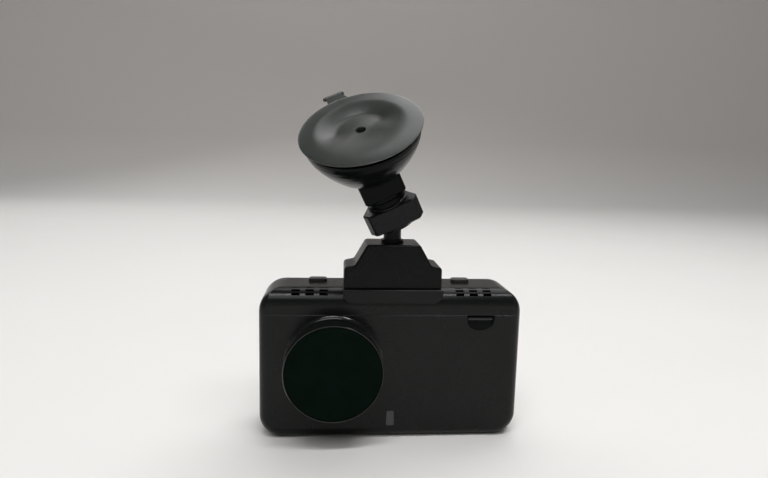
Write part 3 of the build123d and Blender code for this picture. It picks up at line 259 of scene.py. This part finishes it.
def rubbery(name, base):
    """Soft rubber: satin, faintly blotched, with a fine grain."""
    material, tree, shader = new_material(name)
    coords = object_coords(tree)
    broad = mapped(tree, noise(tree, coords, 90, 4, 0.6), 0.35, 0.65, 0, 1)
    colour = mix_colour(tree, broad, shade(base, 0.88), shade(base, 1.15))
    tree.links.new(colour, shader.inputs["Base Color"])
    haze = mapped(tree, noise(tree, coords, 60, 2), 0.3, 0.7, 0.27, 0.33)
    tree.links.new(haze, shader.inputs["Roughness"])
    bump(tree, shader, noise(tree, coords, 700, 3, 0.6), 4e-6)
    return material


def lens_distance(tree):
    """Distance from the lens's axis, in metres."""
    vector = object_coords(tree, scale=(1, 0, 1), offset=(-LENS.x, 0, -LENS.z))
    length = tree.nodes.new("ShaderNodeVectorMath")
    length.operation = "LENGTH"
    tree.links.new(vector, length.inputs[0])
    return length.outputs["Value"]


def anodised(name, base, roughness):
    """Black anodised ring with turning lines round the lens's axis."""
    material, tree, shader = new_material(name)
    coords = object_coords(tree)
    lines = math_node(tree, "SINE", math_node(tree, "MULTIPLY", lens_distance(tree), 32000))
    cloud = noise(tree, coords, 120, 3)
    tone = mapped(tree, cloud, 0.35, 0.65, 0, 1)
    tree.links.new(mix_colour(tree, tone, shade(base, 0.9), shade(base, 1.15)), shader.inputs["Base Color"])
    shader.inputs["Metallic"].default_value = 0.2
    tree.links.new(mapped(tree, cloud, 0.3, 0.7, roughness - 0.05, roughness + 0.07), shader.inputs["Roughness"])
    bump(tree, shader, lines, 2e-6)
    return material


def metal(name, base, roughness, grain=(1, 1, 40), depth=2e-6):
    """Bare or plated metal with fine drawn lines."""
    material, tree, shader = new_material(name)
    lines = noise(tree, object_coords(tree, scale=grain), 900, 4, 0.7)
    stain = mapped(tree, noise(tree, object_coords(tree), 260, 4), 0.4, 0.7, 0, 1)
    tree.links.new(mix_colour(tree, stain, base, shade(base, 0.78)), shader.inputs["Base Color"])
    shader.inputs["Metallic"].default_value = 1.0
    tree.links.new(mapped(tree, lines, 0.3, 0.7, roughness - 0.06, roughness + 0.1), shader.inputs["Roughness"])
    bump(tree, shader, lines, depth)
    return material


def cast_metal(name, base, roughness):
    material, tree, shader = new_material(name)
    coords = object_coords(tree)
    pits = noise(tree, coords, 1500, 4, 0.7)
    depth = mapped(tree, pits, 0.35, 0.7, 0, 1)
    tree.links.new(mix_colour(tree, depth, base, shade(base, 0.7)), shader.inputs["Base Color"])
    shader.inputs["Metallic"].default_value = 1.0
    tree.links.new(mapped(tree, pits, 0.3, 0.7, roughness - 0.08, roughness + 0.1), shader.inputs["Roughness"])
    bump(tree, shader, pits, 3e-5)
    return material


def filter_pane(name):
    """Polarising glass: very dark green, smudged in places."""
    material, tree, shader = new_material(name)
    coords = object_coords(tree)
    smear = noise(tree, coords, 110, 5, 0.65)
    tone = mapped(tree, smear, 0.35, 0.7, 0, 1)
    green = mix_colour(tree, tone, (0.0006, 0.0040, 0.0022), (0.0012, 0.0064, 0.0040))
    tree.links.new(green, shader.inputs["Base Color"])
    tree.links.new(mapped(tree, smear, 0.45, 0.75, 0.05, 0.16), shader.inputs["Roughness"])
    shader.inputs["Specular IOR Level"].default_value = 0.03
    return material


def coated_lens(name):
    material, tree, shader = new_material(name)
    # Painted reflection: the base colour turns from purple face-on to green at grazing angles, standing in for the
    # coating's coloured reflection.
    facing = tree.nodes.new("ShaderNodeLayerWeight")
    facing.inputs["Blend"].default_value = 0.35
    painted_coating_reflection = mix_colour(tree, facing.outputs["Facing"], (0.02, 0.015, 0.05), (0.05, 0.12, 0.10))
    tree.links.new(painted_coating_reflection, shader.inputs["Base Color"])
    cloud = noise(tree, object_coords(tree), 700, 3)
    tree.links.new(mapped(tree, cloud, 0.3, 0.8, 0.02, 0.07), shader.inputs["Roughness"])
    shader.inputs["Coat Weight"].default_value = 0.6
    return material


def dark_window(name, base, roughness):
    """Tinted plastic window."""
    material, tree, shader = new_material(name)
    coords = object_coords(tree)
    cloud = noise(tree, coords, 600, 4, 0.6)
    tree.links.new(mix_colour(tree, cloud, shade(base, 0.85), shade(base, 1.2)), shader.inputs["Base Color"])
    tree.links.new(mapped(tree, cloud, 0.3, 0.7, roughness - 0.03, roughness + 0.06), shader.inputs["Roughness"])
    bump(tree, shader, noise(tree, coords, 1500, 2), 3e-6)
    return material


def screen_pane(name, lit_box):
    """Screen glass: the black border is printed on its back, round a slightly paler panel."""
    material, tree, shader = new_material(name)
    coords = object_coords(tree)
    split = tree.nodes.new("ShaderNodeSeparateXYZ")
    tree.links.new(coords, split.inputs[0])
    (x0, z0), (x1, z1) = lit_box
    soft = 4e-4
    inside = [
        mapped(tree, split.outputs["X"], x0, x0 + soft, 0, 1),
        mapped(tree, split.outputs["X"], x1 - soft, x1, 1, 0),
        mapped(tree, split.outputs["Z"], z0, z0 + soft, 0, 1),
        mapped(tree, split.outputs["Z"], z1 - soft, z1, 1, 0),
    ]
    mask = inside[0]
    for edge in inside[1:]:
        mask = math_node(tree, "MULTIPLY", mask, edge)
    tree.links.new(mix_colour(tree, mask, (0.003, 0.003, 0.0035), (0.011, 0.012, 0.016)), shader.inputs["Base Color"])
    smear = noise(tree, coords, 75, 6, 0.65)
    tree.links.new(mapped(tree, smear, 0.45, 0.75, 0.05, 0.22), shader.inputs["Roughness"])
    return material


def circuit_board(name, base):
    """Solder mask over blocky copper traces."""
    material, tree, shader = new_material(name)
    coords = object_coords(tree)
    traces = tree.nodes.new("ShaderNodeTexBrick")
    traces.inputs["Scale"].default_value = 260
    traces.inputs["Mortar Size"].default_value = 0.03
    tree.links.new(coords, traces.inputs["Vector"])
    grid = math_node(tree, "GREATER_THAN", traces.outputs["Fac"], 0.5)
    patch = mapped(tree, noise(tree, coords, 160, 2), 0.45, 0.55, 0, 1)
    copper = math_node(tree, "MULTIPLY", grid, patch)
    tree.links.new(mix_colour(tree, copper, base, shade(base, 2.2)), shader.inputs["Base Color"])
    tree.links.new(mapped(tree, noise(tree, coords, 800, 3), 0.3, 0.7, 0.28, 0.42), shader.inputs["Roughness"])
    bump(tree, shader, copper, 2e-5)
    return material


def printed(name, base, roughness, grain):
    """Wrap, ceramic or paper: one tone with a fibrous or sandy surface."""
    material, tree, shader = new_material(name)
    coords = object_coords(tree)
    fibre = noise(tree, coords, grain, 5, 0.7)
    tree.links.new(mix_colour(tree, fibre, shade(base, 0.8), shade(base, 1.15)), shader.inputs["Base Color"])
    tree.links.new(mapped(tree, fibre, 0.3, 0.7, roughness - 0.06, roughness + 0.08), shader.inputs["Roughness"])
    bump(tree, shader, fibre, 1e-5)
    return material


SHELL = (0.0052, 0.0060, 0.0056)
SCREEN_LOW, SCREEN_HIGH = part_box("lcd_panel")

MATERIALS = {
    "charcoal_shell": moulded("housing plastic", SHELL, 0.20, gloss=0.20, wear=(0.03, 0.05)),
    "bracket_plastic": moulded("bracket plastic", (0.0034, 0.0041, 0.0038), 0.21, gloss=0.14, grain=3600,
                               wear=(0.03, 0.04)),
    # Key plastic is a lighter grey than the shell: partly its own tone, partly painted sheen standing in for the
    # wall's reflection on the key tops.
    "key_plastic": moulded("key plastic", (0.028, 0.029, 0.028), 0.17, gloss=0.5, grain=2600, wear=(0.06, 0.04)),
    "arm_plastic": moulded("arm plastic", (0.0028, 0.0034, 0.0034), 0.20, gloss=0.07, grain=3000, wear=(0.06, 0.05)),
    "nut_plastic": moulded("nut plastic", (0.0050, 0.0052, 0.0057), 0.26, gloss=0.18, grain=2400,
                           grain_depth=8e-6, wear=(0.06, 0.06)),
    "stud_plastic": moulded("stud plastic", (0.003, 0.0035, 0.0035), 0.26, gloss=0.15, grain=3000, wear=(0.06, 0.05)),
    "inner_plastic": moulded("inner plastic", (0.03, 0.03, 0.03), 0.5, grain=2200),
    "cup_rubber": rubbery("cup rubber", (0.026, 0.030, 0.027)),
    "ring_metal": anodised("ring metal", (0.0075, 0.008, 0.008), 0.15),
    "hood_black": moulded("hood black", (0.009, 0.009, 0.0095), 0.6, grain=1600, grain_depth=2e-5, dust=0.15),
    "filter_glass": filter_pane("filter glass"),
    "lens_glass": coated_lens("lens glass"),
    "window_plastic": dark_window("window plastic", (0.040, 0.043, 0.042), 0.3),
    "screen_glass": screen_pane("screen glass", ((SCREEN_LOW.x, SCREEN_LOW.z), (SCREEN_HIGH.x, SCREEN_HIGH.z))),
    "screen_panel": dark_window("screen panel", (0.012, 0.012, 0.015), 0.25),
    "board_green": circuit_board("board green", (0.008, 0.07, 0.028)),
    "steel": metal("steel", (0.52, 0.52, 0.53), 0.32),
    "plated": metal("plated", (0.7, 0.69, 0.66), 0.22, grain=(1, 1, 1)),
    "contact_gold": metal("contact gold", (0.8, 0.58, 0.22), 0.25, grain=(40, 1, 1)),
    "contact_holder": moulded("contact holder", (0.02, 0.02, 0.02), 0.45, grain=2600),
    "horn_metal": cast_metal("horn metal", (0.58, 0.58, 0.6), 0.4),
    "battery_wrap": printed("battery wrap", (0.03, 0.06, 0.26), 0.3, 220),
    "speaker_frame": printed("speaker frame", (0.02, 0.02, 0.02), 0.6, 1400),
    "ceramic": printed("ceramic", (0.6, 0.55, 0.46), 0.45, 1800),
}


def dress(obj, material):
    obj.data.materials.clear()
    obj.data.materials.append(material)


for entry in frame["record"]["subparts"]:
    dress(frame["nodes"][entry["node"]], MATERIALS[entry["material_slot"]])
dress(frame["nodes"]["laser_lens"], dark_window("laser window", (0.004, 0.0032, 0.0036), 0.14))


# ================================================================ pieces made here
def finished(name, bm, slot, body, matrix):
    """Mesh piece from a bmesh, placed, finished and riding on its body."""
    bmesh.ops.recalc_face_normals(bm, faces=bm.faces)
    mesh = bpy.data.meshes.new(name)
    bm.to_mesh(mesh)
    bm.free()
    mesh.transform(matrix)
    if matrix.determinant() < 0:
        mesh.flip_normals()
    for polygon in mesh.polygons:
        polygon.use_smooth = True
    mesh.set_sharp_from_angle(angle=radians(40))
    piece = bpy.data.objects.new(name, mesh)
    bpy.context.scene.collection.objects.link(piece)
    dress(piece, MATERIALS[slot])
    if body:
        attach(piece, body)
    return piece


def lathe(profile, segments, wobble=None):
    """Closed ring turned about Z from (r, z) points."""
    bm = bmesh.new()
    rings = []
    for k in range(segments):
        angle = tau * k / segments
        ring = []
        for r, z in profile:
            lift = wobble(r, z, angle) if wobble else 0.0
            ring.append(bm.verts.new((r * cos(angle), r * sin(angle), z + lift)))
        rings.append(ring)
    count = len(profile)
    for k in range(segments):
        a, b = rings[k], rings[(k + 1) % segments]
        for i in range(count):
            j = (i + 1) % count
            bm.faces.new((a[i], a[j], b[j], b[i]))
    return bm


def smooth_step(t):
    t = min(max(t, 0.0), 1.0)
    return t * t * (3 - 2 * t)


def dish_height(r, angle):
    """Face of the cup: a flat ring, a drawn-in slope and a plate that rises to the hole. The slope meets
    the plate in a crease on the upper side, and fades into one broad shallow bowl low on the right."""
    crease = max(0.0, cos(angle - CREASE_AZIMUTH)) ** 2
    hard = min(max((SLOPE_OUT - r) / (SLOPE_OUT - PLATE_EDGE_R), 0.0), 1.0) ** CREASE_CURVE
    soft = smooth_step((SLOPE_OUT - r) / (SLOPE_OUT - PLATE_SOFT_R))
    rise = smooth_step((PLATE_EDGE_R - r) / (PLATE_EDGE_R - PLATE_RISEN_R))
    stepped = -DISH_DRAW * (crease * hard + (1 - crease) * soft) + (DISH_DRAW - DISH_MIDDLE) * rise
    bowl = -DISH_MIDDLE * smooth_step((SLOPE_OUT - r) / (SLOPE_OUT - CUP_HOLE_R))
    share = smooth_step((0.5 + 0.5 * cos(angle - BOWL_AZIMUTH) - BOWL_START) / BOWL_FADE)
    return (1 - share) * stepped + share * bowl


def ripple(r, z, angle):
    """Relaxed, the ring curls back a little towards its rim, and is never quite true."""
    reach = max(0.0, (r - SPLIT_R) / (CUP_R - SPLIT_R)) ** 2
    waves = sum(height * sin(count * angle + phase) for height, count, phase in RING_WAVES)
    return reach * (waves - RING_CURL)


def cup_ring():
    """Outer ring of the rubber, which stays on the arm: a thin lip over a shadow gap."""
    face = [(SPLIT_R + (CUP_R - 0.25 - SPLIT_R) * i / 8, 0.0) for i in range(9)]
    lip = [(CUP_R - 0.06, -0.05), (CUP_R, -0.2), (CUP_R - 0.05, -0.42), (CUP_R - 0.3, LIP_LOW)]
    under = [(CUP_R - 2.2, LIP_LOW - 0.1), (LIP_ROOT_R + 0.15, LIP_LOW - 0.2), (LIP_ROOT_R, LIP_LOW - 0.35)]
    back = [(LIP_ROOT_R, -RUBBER_T), (SPLIT_R, -RUBBER_T)]
    ring = lathe(face + lip + under + back, LATHE_SEGMENTS, ripple)
    return finished("cup_ring", ring, "cup_rubber", "arm", cup_matrix())


def cup_dish():
    """Middle of the rubber, drawn in by the plunger."""
    lip = CUP_HOLE_R + 0.25
    face = [(lip + (SPLIT_R - lip) * i / DISH_STEPS, 0.0) for i in range(DISH_STEPS + 1)]
    hole = [(CUP_HOLE_R, -DISH_MIDDLE - 1.0), (CUP_HOLE_R, -DISH_MIDDLE - 0.3)]
    back = [(SPLIT_R, -RUBBER_T), (PLATE_R + 0.8, -RUBBER_BACK), (CUP_HOLE_R, -RUBBER_BACK)]

    def drawn_in(r, z, angle):
        return dish_height(r, angle) if z == 0.0 else 0.0

    dish = lathe(face + back + hole, LATHE_SEGMENTS, drawn_in)
    return finished("cup_dish", dish, "cup_rubber", None, cup_matrix())


def pull_tab():
    """Tab on the rim: a web and a ribbed round bar to get a nail behind."""
    bm = bmesh.new()
    inner = CUP_R - 1.6
    loops = []
    for i in range(TAB_SECTIONS + 1):
        t = i / TAB_SECTIONS
        x = inner + (TAB_OUT - inner) * t
        half = TAB_W / 2 * (1 + TAB_FLARE * (1 - t) ** 2)
        corners = ((-half, TAB_HIGH), (half, TAB_HIGH), (half, TAB_LOW), (-half, TAB_LOW))
        loops.append([bm.verts.new((x, y, z)) for y, z in corners])
    for a, b in zip(loops, loops[1:]):
        for i in range(4):
            j = (i + 1) % 4
            bm.faces.new((a[i], a[j], b[j], b[i]))
    bm.faces.new(loops[0][::-1])
    bm.faces.new(loops[-1])
    bar_profile = [(BAR_TIP_R, -TAB_BAR_L / 2)]
    for i in range(2 * TAB_RIB_PAIRS + 1):
        along = (i / TAB_RIB_PAIRS - 1) * (TAB_BAR_L / 2 - 0.2)
        end = max(0.0, abs(along) - (TAB_BAR_L / 2 - TAB_BAR_R))
        rib = 0.0 if i % 2 else TAB_RIB
        bar_profile.append(((TAB_BAR_R - rib) * max(0.0, 1 - (end / TAB_BAR_R) ** 2) ** 0.5, along))
    bar_profile.append((BAR_TIP_R, TAB_BAR_L / 2))
    rings = []
    for k in range(TAB_BAR_SIDES):
        turn = tau * k / TAB_BAR_SIDES
        ring = []
        for radius, along in bar_profile:
            ring.append(bm.verts.new((TAB_OUT + radius * cos(turn), along, TAB_BAR_Z + radius * sin(turn))))
        rings.append(ring)
    for k in range(TAB_BAR_SIDES):
        a, b = rings[k], rings[(k + 1) % TAB_BAR_SIDES]
        for i in range(len(bar_profile) - 1):
            bm.faces.new((a[i], a[i + 1], b[i + 1], b[i]))
    bmesh.ops.remove_doubles(bm, verts=bm.verts, dist=0.002)
    matrix = cup_matrix() @ Matrix.Rotation(radians(TAB_AZIMUTH), 4, "Z")
    finished("pull_tab", bm, "cup_rubber", "arm", matrix)


def arm_matrix():
    """Arm frame: Z along the arm from the ball's centre."""
    side = Vector((1, 0, 0)) - ARM_AXIS * ARM_AXIS.x
    side.normalize()
    axes = Matrix((side, ARM_AXIS.cross(side), ARM_AXIS)).transposed().to_4x4()
    return Matrix.Translation(BALL) @ axes @ Matrix.Scale(MM, 4)


def thread_ridge():
    """Raised thread on the arm, between the nut and the neck."""
    bm = bmesh.new()
    steps = int(THREAD_TURNS * THREAD_STEPS)
    loops = []
    for k in range(steps + 1):
        t = k / steps
        angle = tau * THREAD_TURNS * t
        z = THREAD_LOW + THREAD_PITCH * THREAD_TURNS * t
        height = THREAD_H * min(1.0, THREAD_RUN_OUT * t, THREAD_RUN_OUT * (1 - t)) + 0.02
        root, crest = THREAD_R - THREAD_ROOT, THREAD_R + height
        section = [(root, -THREAD_FOOT), (THREAD_R, -THREAD_FOOT), (crest, -THREAD_CREST),
                   (crest, THREAD_CREST), (THREAD_R, THREAD_FOOT), (root, THREAD_FOOT)]
        loops.append([bm.verts.new((r * cos(angle), r * sin(angle), z + dz)) for r, dz in section])
    for a, b in zip(loops, loops[1:]):
        for i in range(len(a)):
            j = (i + 1) % len(a)
            bm.faces.new((a[i], a[j], b[j], b[i]))
    bm.faces.new(loops[0][::-1])
    bm.faces.new(loops[-1])
    finished("thread_ridge", bm, "arm_plastic", "arm", arm_matrix())


ring = cup_ring()
dish = cup_dish()
thread_ridge()
pull_tab()
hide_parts("suction_rubber")
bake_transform(dish)


# ================================================================ floor, light and camera
def floor():
    """Plain sweep: a level floor that turns up into a backdrop far behind."""
    bm = bmesh.new()
    outline = [(-FLOOR_REACH, 0.0), (SWEEP_START, 0.0)]
    for k in range(1, SWEEP_STEPS + 1):
        turn = pi / 2 * k / SWEEP_STEPS
        outline.append((SWEEP_START + SWEEP_R * sin(turn), SWEEP_R - SWEEP_R * cos(turn)))
    outline.append((SWEEP_START + SWEEP_R, WALL_TOP))
    rows = [[bm.verts.new((x, y, z)) for x in (-FLOOR_REACH, FLOOR_REACH)] for y, z in outline]
    for a, b in zip(rows, rows[1:]):
        bm.faces.new((a[0], a[1], b[1], b[0]))
    mesh = bpy.data.meshes.new("floor")
    bm.to_mesh(mesh)
    bm.free()
    for polygon in mesh.polygons:
        polygon.use_smooth = True
    obj = bpy.data.objects.new("floor", mesh)
    bpy.context.scene.collection.objects.link(obj)
    material, tree, shader = new_material("floor")
    coords = object_coords(tree)
    split = tree.nodes.new("ShaderNodeSeparateXYZ")
    tree.links.new(coords, split.inputs[0])
    pale = mix_colour(tree, noise(tree, coords, 9, 3), (0.86, 0.845, 0.825), (0.89, 0.875, 0.855))
    wall = mapped(tree, split.outputs["Z"], 0.0, WALL_FADE, 0, 1)
    tree.links.new(mix_colour(tree, wall, pale, (0.78, 0.745, 0.715)), shader.inputs["Base Color"])
    shader.inputs["Roughness"].default_value = 0.7
    dress(obj, material)


def softbox(name, place, target, size, power):
    light = bpy.data.lights.new(name, "AREA")
    light.shape = "RECTANGLE"
    light.size, light.size_y = size
    light.energy = power
    obj = bpy.data.objects.new(name, light)
    obj.location = place
    obj.rotation_euler = (Vector(target) - Vector(place)).to_track_quat("-Z", "Y").to_euler()
    bpy.context.scene.collection.objects.link(obj)


def world():
    background = bpy.data.worlds.new("studio")
    background.use_nodes = True
    tree = background.node_tree
    tree.nodes.clear()
    out = tree.nodes.new("ShaderNodeOutputWorld")
    emit = tree.nodes.new("ShaderNodeBackground")
    tree.links.new(emit.outputs[0], out.inputs["Surface"])
    coords = tree.nodes.new("ShaderNodeTexCoord")
    split = tree.nodes.new("ShaderNodeSeparateXYZ")
    tree.links.new(coords.outputs["Generated"], split.inputs[0])
    height = mapped(tree, split.outputs["Z"], 0.0, SKY_FADE, 0, 1)
    tree.links.new(mix_colour(tree, height, (0.46, 0.45, 0.44), (0.13, 0.13, 0.132)), emit.inputs["Color"])
    bpy.context.scene.world = background


def camera():
    """Camera at the photograph's angle."""
    place = Vector(CAMERA_MM) * MM
    yaw, pitch, roll = CAMERA_YAW, CAMERA_PITCH, CAMERA_ROLL
    forward = Vector((-sin(yaw) * cos(pitch), cos(yaw) * cos(pitch), -sin(pitch)))
    level = Vector((cos(yaw), sin(yaw), 0))
    up = level.cross(forward)
    right = level * cos(roll) + up * sin(roll)
    top = up * cos(roll) - level * sin(roll)
    data = bpy.data.cameras.new("camera")
    data.sensor_width = SENSOR_MM
    data.lens = FOCAL_PX / FRAME_PX * SENSOR_MM
    data.clip_start = 0.01
    obj = bpy.data.objects.new("camera", data)
    axes = Matrix((right, top, -forward)).transposed().to_4x4()
    obj.matrix_world = Matrix.Translation(place) @ axes
    bpy.context.scene.collection.objects.link(obj)
    bpy.context.scene.camera = obj


floor()
world()
for light in LIGHTS:
    softbox(*light)
camera()
bpy.context.scene.view_settings.view_transform = "Standard"
